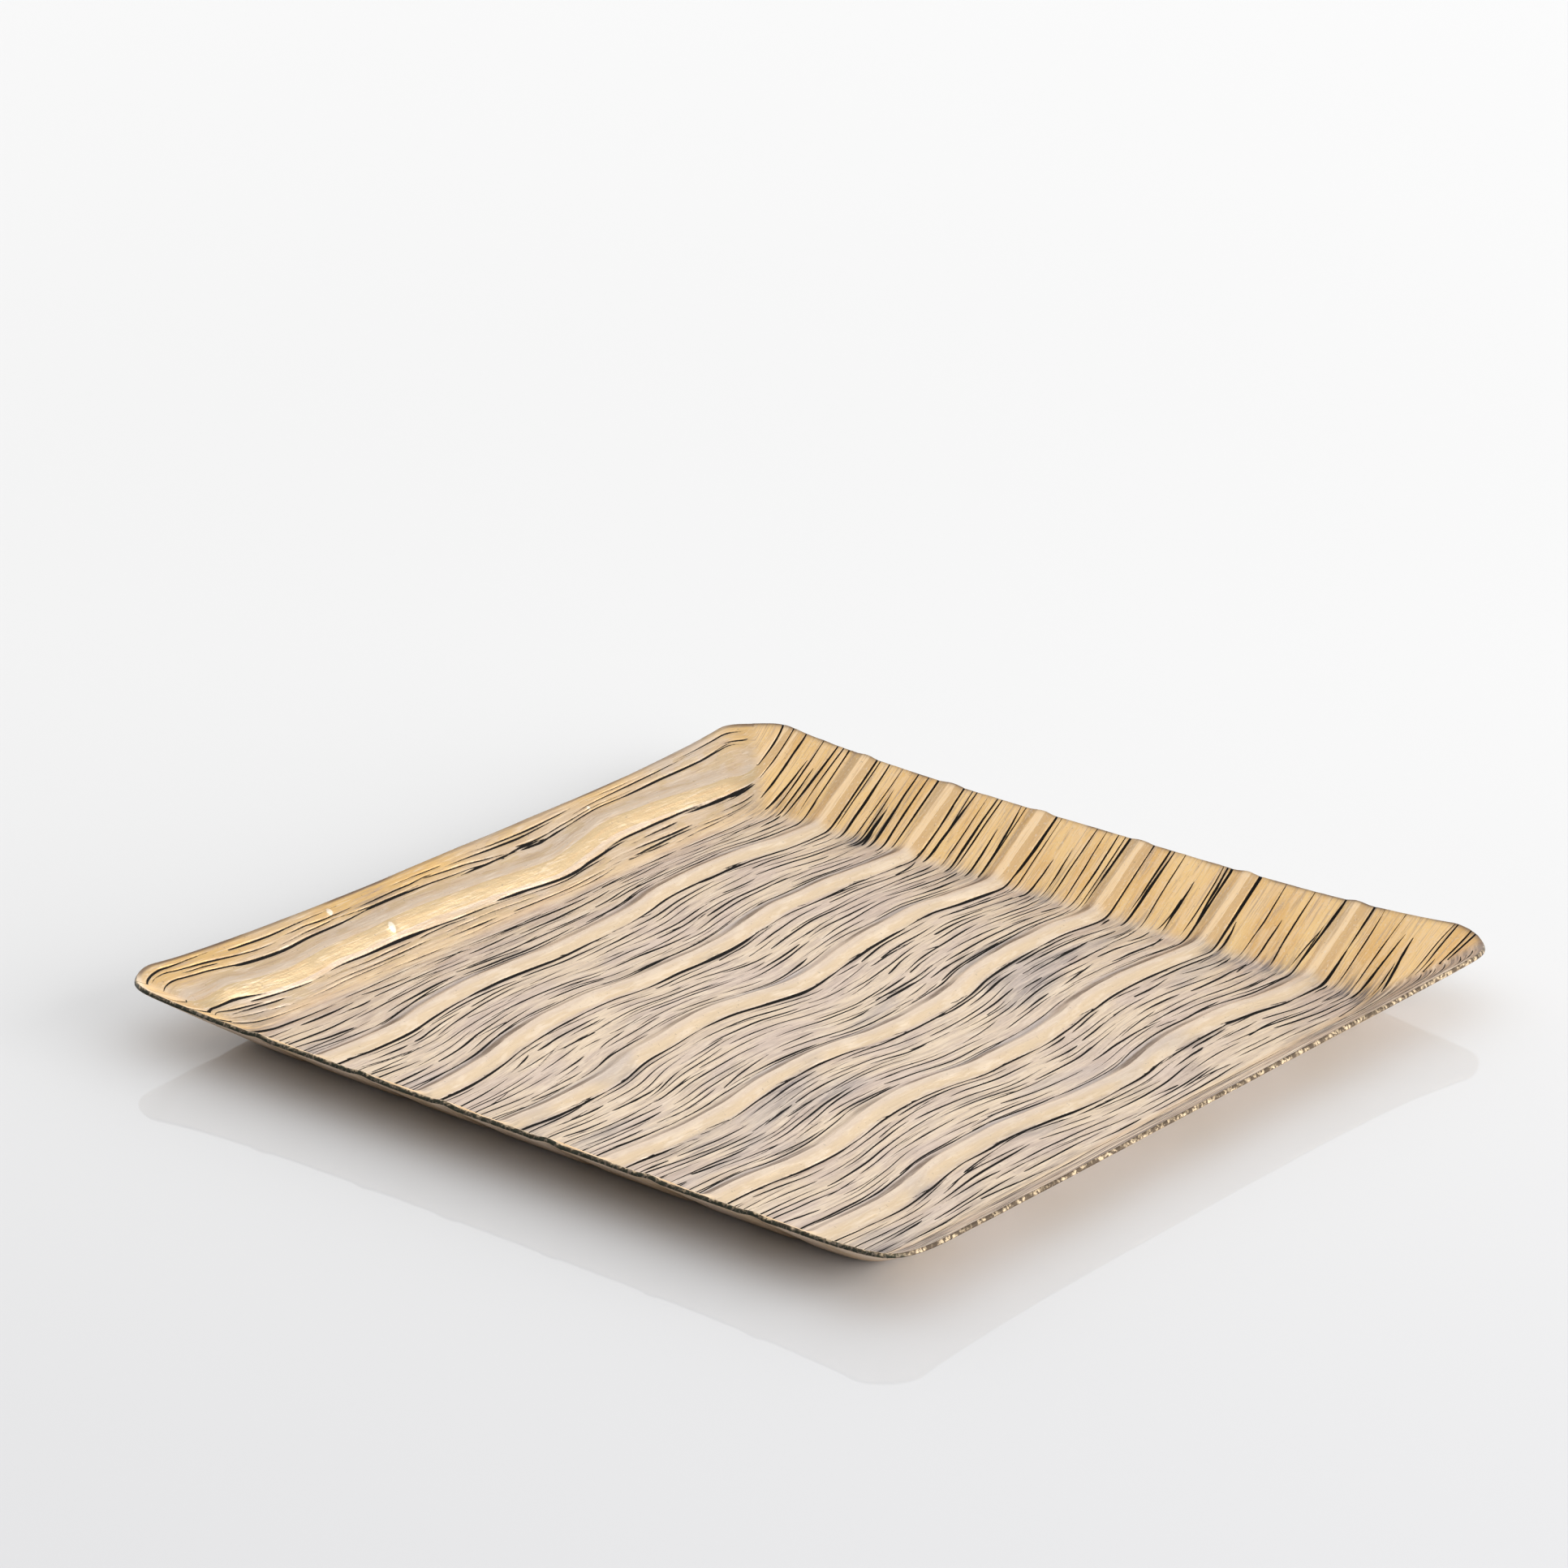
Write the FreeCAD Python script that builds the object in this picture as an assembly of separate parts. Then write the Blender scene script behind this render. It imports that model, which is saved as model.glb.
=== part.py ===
"""A square brass serving tray, pressed from one piece of sheet.

The tray is a single sheet of brass with nothing joined to it: a flat floor, four low walls that lean
outwards, rounded corners that are drawn a little up and out, and a bare cut edge. Six wavy ribs are
raised from below and run from one wall, across the floor and up the other. A seventh rib runs along
one wall. The ribs are hollow underneath, and the flat strips of floor between them carry the tray.

Frame: millimetres, +Z up, origin on the resting plane under the middle of the floor. The six ribs run
along Y, and the seventh lies on the wall at -X.
"""

import FreeCAD
import Part
import math
import os

# Driving dimensions
SIDE = 300.0  # rim to rim across the middle of a side
SHEET = 1.5  # thickness of the brass
FLOOR_HALF = 125.0  # from the middle to the bend at the foot of a wall
WALL_RISE = {"-x": 17.8, "+x": 16.5, "-y": 17.1, "+y": 17.4}  # each wall's rise from floor to rim
BEND_HALF = 3.0  # half the width of the rounded bend at the foot of a wall
CORNER_POWER = 24.0  # how square the floor's corners are: higher is squarer
WALL_BLEND_POWER = 8  # how soon one wall's rise gives way to the next at a corner: higher is sooner

# The rim's corners, as (x side, y side): radius, outward pull along each axis, extra lift
RIM_CORNERS = {
    (-1, -1): (16.0, 1.8, 1.2),
    (1, -1): (14.5, 1.4, 0.8),
    (1, 1): (20.0, 3.2, 0.3),
    (-1, 1): (17.5, 3.0, -1.0),
}
CORNER_LIFT_POWER = 3.8  # how fast a corner's lift dies out away from it

# The ribs. Each list gives a rib's middle in X at stations evenly spaced in Y, from the -Y end.
RIB_HEIGHT = 2.1
RIB_HALF_WIDTH = 5.6
RIB_RIM_SHARE = 0.28  # what is left of a rib's height where it meets the rim
STATION_START = -120.0
STATION_STEP = 15.0
FLOOR_RIBS = (
    (-93.0, -92.0, -92.5, -95.5, -97.5, -98.5, -98.0, -97.0, -97.5, -98.0, -99.5, -103.0, -104.5, -105.0,
     -104.5, -102.0, -101.0),
    (-51.5, -52.5, -55.0, -59.0, -61.5, -62.5, -62.5, -60.0, -60.0, -59.5, -60.5, -63.5, -66.0, -66.0,
     -66.0, -64.5, -63.5),
    (-18.0, -17.0, -17.5, -19.0, -23.0, -24.5, -26.5, -26.5, -23.5, -21.0, -22.5, -25.5, -28.0, -29.0,
     -30.0, -27.5, -26.0),
    (22.5, 24.0, 24.5, 24.0, 21.5, 19.5, 19.0, 20.0, 22.5, 23.0, 22.0, 20.0, 16.0, 14.0,
     13.0, 13.0, 15.0),
    (61.5, 62.0, 64.0, 64.0, 61.5, 58.5, 57.5, 58.5, 61.5, 61.5, 61.5, 59.5, 56.5, 54.5,
     54.5, 55.5, 57.0),
    (100.5, 101.5, 101.5, 99.0, 96.0, 95.5, 95.5, 97.0, 99.0, 100.0, 99.5, 96.5, 94.5, 94.5,
     95.5, 98.5, 99.0),
)
WALL_RIB = (-138.0, -136.5, -136.0, -137.0, -137.0, -137.5, -137.5, -137.0, -136.5, -135.5, -135.0, -137.0,
            -139.0, -139.0, -138.5, -137.5, -137.0)
WALL_RIB_HEIGHT = 2.4
WALL_RIB_HALF_WIDTH = 6.0
WALL_RIB_END = 132.0  # the wall rib fades out beyond this distance from the middle

# How the sheet's two faces are made
GRID_REACH = 158.0  # the faces are made this far out, then cut to the rim
FINE_STEP = 2.5
COARSE_STEP = 7.5
LAND_DIP = 0.3  # the lower face is made this far below the resting plane, then cut flat
LAND_DIP_FADE = 1.0  # the height at which that dip has faded out
SLOPE_PROBE = 0.2


def along(stations, y):
    """A smooth line through evenly spaced stations, held straight past both ends."""
    place = (y - STATION_START) / STATION_STEP
    place = min(max(place, 0.0), len(stations) - 1.0)
    first = min(int(place), len(stations) - 2)
    share = place - first
    before, start, end, after = (stations[min(max(first + k, 0), len(stations) - 1)] for k in (-1, 0, 1, 2))
    start_slope = (end - before) / 2.0
    end_slope = (after - start) / 2.0
    rise = end - start
    square = 3.0 * rise - 2.0 * start_slope - end_slope
    cube = start_slope + end_slope - 2.0 * rise
    return start + share * (start_slope + share * (square + share * cube))


def bump(distance, half_width):
    """1 in the middle of a rib, 0 outside it, smooth between."""
    if abs(distance) >= half_width:
        return 0.0
    return math.cos(math.pi / 2.0 * distance / half_width) ** 2


def fade(value, start, end):
    """Falls smoothly from 1 at start to 0 at end."""
    share = min(max((value - start) / (end - start), 0.0), 1.0)
    return 1.0 - share * share * (3.0 - 2.0 * share)


def wall_run(x, y):
    """How far a point is past the foot of the wall, square to it. Negative on the floor."""
    across, deep = abs(x), abs(y)
    reach = (across**CORNER_POWER + deep**CORNER_POWER) ** (1.0 / CORNER_POWER)
    return reach - FLOOR_HALF


def wall_height(x, y):
    """The upper face without its ribs, above the floor."""
    run = wall_run(x, y)
    if run <= -BEND_HALF:
        return 0.0
    pulls = {
        "-x": max(-x, 0.0) ** WALL_BLEND_POWER,
        "+x": max(x, 0.0) ** WALL_BLEND_POWER,
        "-y": max(-y, 0.0) ** WALL_BLEND_POWER,
        "+y": max(y, 0.0) ** WALL_BLEND_POWER,
    }
    rise = sum(pulls[side] * WALL_RISE[side] for side in pulls) / sum(pulls.values())
    slope = rise / (SIDE / 2.0 - FLOOR_HALF)
    corner = (abs(x * y) / (SIDE / 2.0) ** 2) ** CORNER_LIFT_POWER
    lift = corner * RIM_CORNERS[(1 if x > 0 else -1, 1 if y > 0 else -1)][2]
    if run >= BEND_HALF:
        return slope * run + lift
    return slope * (run + BEND_HALF) ** 2 / (4.0 * BEND_HALF) + lift * (run + BEND_HALF) / (2.0 * BEND_HALF)


def rib_height(x, y):
    """How far the ribs stand out of the sheet at this point."""
    up_the_wall = min(max(wall_run(0.0, y) / (SIDE / 2.0 - FLOOR_HALF), 0.0), 1.0)
    height = RIB_HEIGHT * (1.0 - (1.0 - RIB_RIM_SHARE) * up_the_wall)
    total = sum(height * bump(x - along(rib, y), RIB_HALF_WIDTH) for rib in FLOOR_RIBS)
    ends = fade(abs(y), WALL_RIB_END - STATION_STEP, WALL_RIB_END)
    return total + WALL_RIB_HEIGHT * ends * bump(x - along(WALL_RIB, y), WALL_RIB_HALF_WIDTH)


def upper(x, y):
    return SHEET + wall_height(x, y) + rib_height(x, y)


def lower(x, y):
    """The face below upper by the sheet's thickness, measured square to the sheet."""
    slope_x = (upper(x + SLOPE_PROBE, y) - upper(x - SLOPE_PROBE, y)) / (2.0 * SLOPE_PROBE)
    slope_y = (upper(x, y + SLOPE_PROBE) - upper(x, y - SLOPE_PROBE)) / (2.0 * SLOPE_PROBE)
    height = upper(x, y) - SHEET * math.sqrt(1.0 + slope_x**2 + slope_y**2)
    if height >= LAND_DIP_FADE:
        return height
    return height - LAND_DIP * (1.0 - height / LAND_DIP_FADE) ** 2


def spaced(start, end, step):
    count = max(1, round((end - start) / step))
    return [start + (end - start) * k / count for k in range(count)]


def face_surface(height):
    """One face of the sheet as a smooth surface through a grid, finer where the sheet bends."""
    bend_start = FLOOR_HALF - 3.0 * BEND_HALF
    columns = spaced(-GRID_REACH, GRID_REACH, FINE_STEP) + [GRID_REACH]
    rows = spaced(-GRID_REACH, -bend_start, FINE_STEP) + spaced(-bend_start, bend_start, COARSE_STEP)
    rows += spaced(bend_start, GRID_REACH, FINE_STEP) + [GRID_REACH]
    surface = Part.BSplineSurface()
    surface.interpolate([[FreeCAD.Vector(x, y, height(x, y)) for y in rows] for x in columns])
    return surface


def blank():
    """The whole sheet before its rim is cut: two smooth faces and four sides."""
    top = face_surface(upper)
    bottom = face_surface(lower)
    faces = [top.toShape(), bottom.toShape()]
    for name, at_start in (("uIso", True), ("uIso", False), ("vIso", True), ("vIso", False)):
        edges = []
        for surface in (top, bottom):
            u_start, u_end, v_start, v_end = surface.bounds()
            start, end = (u_start, u_end) if name == "uIso" else (v_start, v_end)
            edges.append(getattr(surface, name)(start if at_start else end).toShape())
        faces.append(Part.makeRuledSurface(*edges))
    shell = Part.makeShell(faces)
    shell.sewShape()
    return Part.makeSolid(shell)


def rim_wire(height, grow):
    """The rim's outline at one height, larger all round by grow: rounded corners joined by sides that
    bow inwards a little, because the corners are pulled out."""
    half = SIDE / 2.0
    order = ((-1, -1), (1, -1), (1, 1), (-1, 1))
    arcs = []
    for across, deep in order:
        radius, pull, _ = RIM_CORNERS[(across, deep)]
        reach = half + pull - radius
        middle = FreeCAD.Vector(across * reach, deep * reach, height)
        turn = math.atan2(deep, across)
        ends = [turn + math.radians(a) for a in (-45.0, 0.0, 45.0)]
        arcs.append([
            middle + FreeCAD.Vector(math.cos(a), math.sin(a), 0.0) * (radius + grow) for a in ends
        ])
    side_middles = ((0, -1), (1, 0), (0, 1), (-1, 0))
    edges = []
    for k, arc in enumerate(arcs):
        edges.append(Part.Arc(*arc).toShape())
        following = arcs[(k + 1) % 4]
        x, y = side_middles[k]
        middle = FreeCAD.Vector(x * (half + grow), y * (half + grow), height)
        edges.append(Part.Arc(arc[2], middle, following[0]).toShape())
    return Part.Wire(edges)


def rim_cutter():
    """A block whose sides lean in with height, so that it cuts the sheet square to its slope."""
    rim_height = SHEET + sum(WALL_RISE.values()) / 4.0
    lean = sum(WALL_RISE.values()) / 4.0 / (SIDE / 2.0 - FLOOR_HALF)
    top = 2.0 * rim_height
    lowest = rim_wire(0.0, lean * rim_height)
    highest = rim_wire(top, -lean * (top - rim_height))
    return Part.makeLoft([lowest, highest], True, True)


def tray():
    return blank().common(rim_cutter()).removeSplitter()


os.makedirs("parts", exist_ok=True)
tray().exportStep("parts/tray_sheet.step")
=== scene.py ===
import math

import bpy
import numpy as np
from mathutils import Matrix, Vector


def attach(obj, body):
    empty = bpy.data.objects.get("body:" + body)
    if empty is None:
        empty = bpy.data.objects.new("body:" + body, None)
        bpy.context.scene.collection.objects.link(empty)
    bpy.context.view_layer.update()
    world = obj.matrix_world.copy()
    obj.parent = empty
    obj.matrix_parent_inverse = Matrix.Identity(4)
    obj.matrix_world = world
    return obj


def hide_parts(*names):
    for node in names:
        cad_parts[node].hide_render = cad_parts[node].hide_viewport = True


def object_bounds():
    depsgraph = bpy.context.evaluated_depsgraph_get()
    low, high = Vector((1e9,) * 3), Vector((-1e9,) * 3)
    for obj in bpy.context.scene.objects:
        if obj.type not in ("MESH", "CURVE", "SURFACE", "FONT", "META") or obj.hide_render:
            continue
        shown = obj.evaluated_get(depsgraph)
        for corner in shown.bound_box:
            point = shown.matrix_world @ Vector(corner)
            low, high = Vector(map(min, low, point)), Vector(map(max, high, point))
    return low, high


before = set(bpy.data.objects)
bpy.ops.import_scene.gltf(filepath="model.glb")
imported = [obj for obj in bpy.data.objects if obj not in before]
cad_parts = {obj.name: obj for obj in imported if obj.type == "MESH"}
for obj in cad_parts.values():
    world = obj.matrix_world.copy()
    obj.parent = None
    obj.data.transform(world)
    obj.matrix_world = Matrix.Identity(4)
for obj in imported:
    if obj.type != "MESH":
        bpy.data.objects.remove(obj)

cad_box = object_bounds()

# ---------------------------------------------------------------------------------------------
# Sizes of the sheet. Shapes are worked out in millimetres, as in the CAD, and become metres once,
# when the mesh is made.
# ---------------------------------------------------------------------------------------------
MM = 0.001
HALF = 150.0  # from the middle to the rim, halfway along a side
SHEET = 1.5
FLOOR_HALF = 125.0
WALL_RUN = HALF - FLOOR_HALF
WALL_RISE = {"-x": 17.8, "+x": 16.5, "-y": 17.1, "+y": 17.4}
BEND_HALF = 3.0
CORNER_POWER = 24.0  # how square the floor's corners are: higher is squarer
WALL_BLEND_POWER = 8  # how soon one wall's rise gives way to the next at a corner: higher is sooner
CORNER_SPREAD = 3.8  # how fast a corner's pull and lift die out along the rim
ROUND_FROM = 0.82  # the share of the way to the rim at which corners start to be round

# The rim's corners, as (x side, y side): radius, outward pull, lift
RADIUS, PULL, LIFT = 0, 1, 2
RIM_CORNERS = {
    (-1, -1): (16.0, 3.2, 1.2),
    (1, -1): (14.5, 2.5, 0.8),
    (1, 1): (20.0, 5.6, 0.3),
    (-1, 1): (17.5, 5.4, -1.0),
}

# The ribs: the middle of each in X, at stations evenly spaced in Y from the -Y end
RIB_HEIGHT = 2.1
RIB_HALF = 5.6
RIB_RIM_SHARE = 0.28  # what is left of a rib's height where it meets the rim
STATION_START = -120.0
STATION_STEP = 15.0
FLOOR_RIBS = (
    (-93.0, -92.0, -92.5, -95.5, -97.5, -98.5, -98.0, -97.0, -97.5,
     -98.0, -99.5, -103.0, -104.5, -105.0, -104.5, -102.0, -101.0),
    (-51.5, -52.5, -55.0, -59.0, -61.5, -62.5, -62.5, -60.0, -60.0,
     -59.5, -60.5, -63.5, -66.0, -66.0, -66.0, -64.5, -63.5),
    (-18.0, -17.0, -17.5, -19.0, -23.0, -24.5, -26.5, -26.5, -23.5,
     -21.0, -22.5, -25.5, -28.0, -29.0, -30.0, -27.5, -26.0),
    (22.5, 24.0, 24.5, 24.0, 21.5, 19.5, 19.0, 20.0, 22.5,
     23.0, 22.0, 20.0, 16.0, 14.0, 13.0, 13.0, 15.0),
    (61.5, 62.0, 64.0, 64.0, 61.5, 58.5, 57.5, 58.5, 61.5,
     61.5, 61.5, 59.5, 56.5, 54.5, 54.5, 55.5, 57.0),
    (100.5, 101.5, 101.5, 99.0, 96.0, 95.5, 95.5, 97.0, 99.0,
     100.0, 99.5, 96.5, 94.5, 94.5, 95.5, 98.5, 99.0),
)
WALL_RIB = (-138.0, -136.5, -136.0, -137.0, -137.0, -137.5, -137.5, -137.0, -136.5,
            -135.5, -135.0, -137.0, -139.0, -139.0, -138.5, -137.5, -137.0)
WALL_RIB_HEIGHT = 2.4
WALL_RIB_HALF = 6.0
WALL_RIB_END = 132.0  # the wall rib has faded out this far from the middle

# The mesh: fine across the ribs, coarser along them, coarser still underneath
ACROSS_STEP = 0.25
ALONG_STEP = 0.8
UNDER_ACROSS = 4  # how many steps of the top make one underneath
UNDER_ALONG = 2
RIM_RINGS = (0.10, 0.32, 0.55, 0.78, 0.93)  # how far down the cut edge each ring of points lies

GLINTS = ((-135.2, -47.0, 1.3), (-147.2, -63.0, 1.1), (-146.0, 60.0, 0.7))  # x, y, radius
LINE_REACH = 0.8  # how far from a chased line's edge the line attribute still changes
FEWEST_ROWS = 3  # a chased line that crosses fewer rows of the grid is left out

SEED = 11
rng = np.random.default_rng(SEED)


# ---------------------------------------------------------------------------------------------
# Small helpers on arrays
# ---------------------------------------------------------------------------------------------
def ease(value, start, end):
    """0 at start, 1 at end, smooth between."""
    share = np.clip((value - start) / (end - start), 0.0, 1.0)
    return share * share * (3.0 - 2.0 * share)


def spline_weights(count, cells):
    """Weights that turn cells + 3 evenly spaced numbers into count smooth ones."""
    place = np.linspace(0.0, cells, count)
    first = np.minimum(place.astype(int), cells - 1)
    t = place - first
    inner = (3 * t**3 - 6 * t**2 + 4, -3 * t**3 + 3 * t**2 + 3 * t + 1)
    basis = np.stack([(1 - t) ** 3, inner[0], inner[1], t**3], 1) / 6.0
    weights = np.zeros((count, cells + 3))
    for k in range(4):
        weights[np.arange(count), first + k] += basis[:, k]
    return weights


def noise(shape, across_cells, along_cells):
    """Smooth noise over the grid, about -1 to 1, with this many cells each way."""
    seeds = rng.uniform(-1.0, 1.0, (along_cells + 3, across_cells + 3))
    rows = spline_weights(shape[0], along_cells)
    columns = spline_weights(shape[1], across_cells)
    return 1.6 * rows @ seeds @ columns.T


def blurred(values, across, along):
    """A soft copy of a grid, by two passes of a running mean each way."""
    for axis, reach in ((1, across), (0, along)):
        for _ in range(2):
            margins = [(0, 0), (0, 0)]
            margins[axis] = (reach + 1, reach)
            sums = np.moveaxis(np.cumsum(np.pad(values, margins, "edge"), axis), axis, 0)
            width = 2 * reach + 1
            values = np.moveaxis((sums[width:] - sums[:-width]) / width, 0, axis)
    return values


def along(stations, y):
    """A smooth line through evenly spaced stations, held straight past both ends."""
    values = np.array(stations)
    place = np.clip((y - STATION_START) / STATION_STEP, 0.0, len(values) - 1.0)
    first = np.minimum(place.astype(int), len(values) - 2)
    t = place - first
    before, start, end, after = (values[np.clip(first + k, 0, len(values) - 1)] for k in (-1, 0, 1, 2))
    start_slope, end_slope, rise = (end - before) / 2, (after - start) / 2, end - start
    square = 3 * rise - 2 * start_slope - end_slope
    return start + t * (start_slope + t * (square + t * (start_slope + end_slope - 2 * rise)))


# ---------------------------------------------------------------------------------------------
# The sheet's shape
# ---------------------------------------------------------------------------------------------
def corner_shares(u, v):
    """How much each of the rim's corners counts at a point, with u and v from -1 to 1."""
    return {(a, b): (1 + a * u) * (1 + b * v) / 4 for a, b in RIM_CORNERS}


def by_corner(x, y, place):
    """One number of each rim corner, blended over the tray."""
    u, v = x / HALF, y / HALF
    spread = np.abs(u * v) ** CORNER_SPREAD
    shares = corner_shares(u, v)
    return spread * sum(shares[c] * RIM_CORNERS[c][place] for c in RIM_CORNERS)


def wall_run(x, y):
    """How far a point is past the foot of the wall. Negative on the floor."""
    reach = (np.abs(x) ** CORNER_POWER + np.abs(y) ** CORNER_POWER) ** (1.0 / CORNER_POWER)
    return reach - FLOOR_HALF


def wall_height(x, y):
    """How high the sheet is above the floor, without its ribs."""
    toward = {"-x": -x, "+x": x, "-y": -y, "+y": y}
    pulls = {side: np.maximum(reach, 0.0) ** WALL_BLEND_POWER for side, reach in toward.items()}
    total = sum(pulls.values()) + 1e-9
    slope = sum(pulls[side] * WALL_RISE[side] for side in pulls) / total / WALL_RUN
    run = wall_run(x, y)
    bend = np.clip(run + BEND_HALF, 0.0, 2 * BEND_HALF) ** 2 / (4 * BEND_HALF)
    straight = np.maximum(run - BEND_HALF, 0.0)
    return slope * (bend + straight) + by_corner(x, y, LIFT) * ease(run, -BEND_HALF, BEND_HALF)


def rib_places(x, y):
    """For every rib, how far across it each point is, as a share of its half width."""
    places = [(x - along(rib, y)) / RIB_HALF for rib in FLOOR_RIBS]
    return places, (x - along(WALL_RIB, y)) / WALL_RIB_HALF


def bump(place):
    """A rib's section: 1 in its middle, 0 at its foot."""
    return np.where(np.abs(place) < 1.0, np.cos(math.pi / 2 * np.clip(place, -1, 1)) ** 2, 0.0)


def rib_height(x, y):
    floor_places, wall_place = rib_places(x, y)
    up_the_wall = np.clip((np.abs(y) - FLOOR_HALF) / WALL_RUN, 0.0, 1.0)
    height = RIB_HEIGHT * (1.0 - (1.0 - RIB_RIM_SHARE) * up_the_wall)
    ends = 1.0 - ease(np.abs(y), WALL_RIB_END - STATION_STEP, WALL_RIB_END)
    return height * sum(bump(p) for p in floor_places) + WALL_RIB_HEIGHT * ends * bump(wall_place)


def upper(x, y):
    """The height of the sheet's upper face."""
    return SHEET + wall_height(x, y) + rib_height(x, y)


# ---------------------------------------------------------------------------------------------
# Where the grid's points lie. Columns follow the ribs, so that lines chased beside a rib run
# along them, and the outermost ring is the rim.
# ---------------------------------------------------------------------------------------------
RIB_MIDDLES = [float(np.mean(rib)) for rib in FLOOR_RIBS]
WALL_RIB_MIDDLE = float(np.mean(WALL_RIB))
RIB_KEPT = 7.0  # the grid keeps its spacing this far to both sides of a rib's middle
WALL_RIB_KEPT = 4.0


def flow_shift(across, y):
    """How far a column moves sideways at y, so that it follows the nearest ribs."""
    zero = np.zeros_like(y)
    knots, shifts = [-HALF], [zero]
    wall_shift = along(WALL_RIB, y) - WALL_RIB_MIDDLE
    for offset in (-WALL_RIB_KEPT, WALL_RIB_KEPT):
        knots.append(WALL_RIB_MIDDLE + offset)
        shifts.append(wall_shift)
    knots.append(-FLOOR_HALF)
    shifts.append(zero)
    for rib, middle in zip(FLOOR_RIBS, RIB_MIDDLES):
        shift = along(rib, y) - middle
        knots += [middle - RIB_KEPT, middle + RIB_KEPT]
        shifts += [shift, shift]
    knots += [FLOOR_HALF, HALF]
    shifts += [zero, zero]
    table = np.array(shifts).T
    return np.array([np.interp(across, knots, row) for row in table])


def round_corner(x, y):
    """Moves points of a square onto nested squares with round corners, roundest at the rim."""
    major = np.maximum(np.abs(x), np.abs(y))
    minor = np.minimum(np.abs(x), np.abs(y))
    shares = corner_shares(np.sign(x), np.sign(y))
    radius = sum(shares[c] * RIM_CORNERS[c][RADIUS] for c in RIM_CORNERS)
    radius = radius * ease(major / HALF, ROUND_FROM, 1.0) + 1e-6
    turn = np.clip((minor - (major - radius)) / radius, 0.0, 1.0) * math.pi / 4
    new_major = np.where(turn > 0, major - radius + radius * np.cos(turn), major)
    new_minor = np.where(turn > 0, major - radius + radius * np.sin(turn), minor)
    across_leads = np.abs(x) >= np.abs(y)
    new_x = np.where(across_leads, new_major, new_minor) * np.sign(x)
    new_y = np.where(across_leads, new_minor, new_major) * np.sign(y)
    return new_x, new_y


def evenly(step, under_steps):
    """Grid lines from rim to rim, about a step apart, in a number that suits the underside too."""
    return np.linspace(-HALF, HALF, 2 * under_steps * round(HALF / step / under_steps) + 1)


def grid_places():
    """The flow grid (columns, rows) and where its points lie."""
    columns = evenly(ACROSS_STEP, UNDER_ACROSS)
    rows = evenly(ALONG_STEP, UNDER_ALONG)
    y = np.repeat(rows[:, None], len(columns), 1)
    x = columns[None, :] + flow_shift(columns, rows)
    x, y = round_corner(x, y)
    pull = by_corner(x, y, PULL)
    return columns, rows, x + pull * x / HALF, y + pull * y / HALF


# ---------------------------------------------------------------------------------------------
# Chased lines, drawn on the flow grid
# ---------------------------------------------------------------------------------------------
class Lines:
    """Draws tapered lines on the grid: line is 0.5 on a line's edge and more inside it, and
    depth is how deep the tool went, in millimetres."""

    def __init__(self, columns, rows):
        self.columns, self.rows = columns, rows
        self.line = np.zeros((len(rows), len(columns)))
        self.depth = np.zeros_like(self.line)

    def draw(self, start, end, half_width, depth, bow=0.0, lean=0.5):
        """One line from start to end, each (across, along). lean says where it is thickest."""
        if start[1] > end[1]:
            start, end, lean = end, start, 1.0 - lean
        first, last = np.searchsorted(self.rows, (start[1], end[1]))
        if last - first < FEWEST_ROWS:
            return
        y = self.rows[first:last]
        t = (y - start[1]) / (end[1] - start[1])
        power = math.log(0.5) / math.log(min(max(lean, 0.12), 0.88))
        taper = np.sin(math.pi * np.clip(t, 0.0, 1.0) ** power) ** 0.55
        wobble = np.interp(t, np.linspace(0, 1, 7), rng.normal(0.0, 1.0, 7))
        middle = start[0] + (end[0] - start[0]) * t + 4 * bow * t * (1 - t) + 0.06 * wobble
        unsteady = np.interp(t, np.linspace(0, 1, 9), rng.normal(0, 1, 9))
        width = half_width * taper * (1.0 + 0.10 * unsteady)
        reach = half_width + 2 * LINE_REACH + abs(bow) + 0.5
        low = np.searchsorted(self.columns, min(start[0], end[0]) - reach)
        high = np.searchsorted(self.columns, max(start[0], end[0]) + reach)
        block = (slice(first, last), slice(low, high))
        inside = width[:, None] - np.abs(self.columns[None, low:high] - middle[:, None])
        shade = np.clip(0.5 + 0.5 * inside / LINE_REACH, 0.0, 1.0)
        self.line[block] = np.maximum(self.line[block], shade)
        groove = depth * ease(inside, -0.35, 0.35) * (width[:, None] / half_width)
        self.depth[block] = np.maximum(self.depth[block], groove)

    def lane(self, across, low, high, lengths, gaps, half_width, depth, slant, wander):
        """Lines one after another down a lane, of uneven length, gap, weight and slant."""
        y = low - rng.uniform(0.0, lengths[0])
        while y < high - lengths[0] * 0.5:
            length = rng.uniform(*lengths)
            end = min(y + length, high)
            drift = rng.normal(0.0, slant)
            start_at = (across + rng.normal(0.0, wander) - drift / 2, y)
            end_at = (across + rng.normal(0.0, wander) + drift / 2, end)
            weight = rng.uniform(*half_width)
            self.draw(start_at, end_at, weight, depth, rng.normal(0.0, 0.35), rng.uniform(0.15, 0.85))
            y = end + rng.uniform(*gaps)


LANE_WIDTH = 2.9  # between neighbouring lanes of lines on the floor
BAND_MARGIN = 1.5  # from the foot of a side wall to the first band
LAND_END = FLOOR_HALF - 1.0  # floor lines stop this far from the middle
GROOVE = 0.3  # depth of the bold lines


def chase(lines):
    """All the tray's chased lines."""
    starts = [-FLOOR_HALF + BAND_MARGIN] + [middle + RIB_HALF for middle in RIB_MIDDLES]
    ends = [middle - RIB_HALF for middle in RIB_MIDDLES] + [FLOOR_HALF - BAND_MARGIN]
    for low, high in zip(starts, ends):
        chase_band(lines, low, high)
    chase_rib_feet(lines)
    chase_end_walls(lines)
    chase_side_walls(lines)


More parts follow.
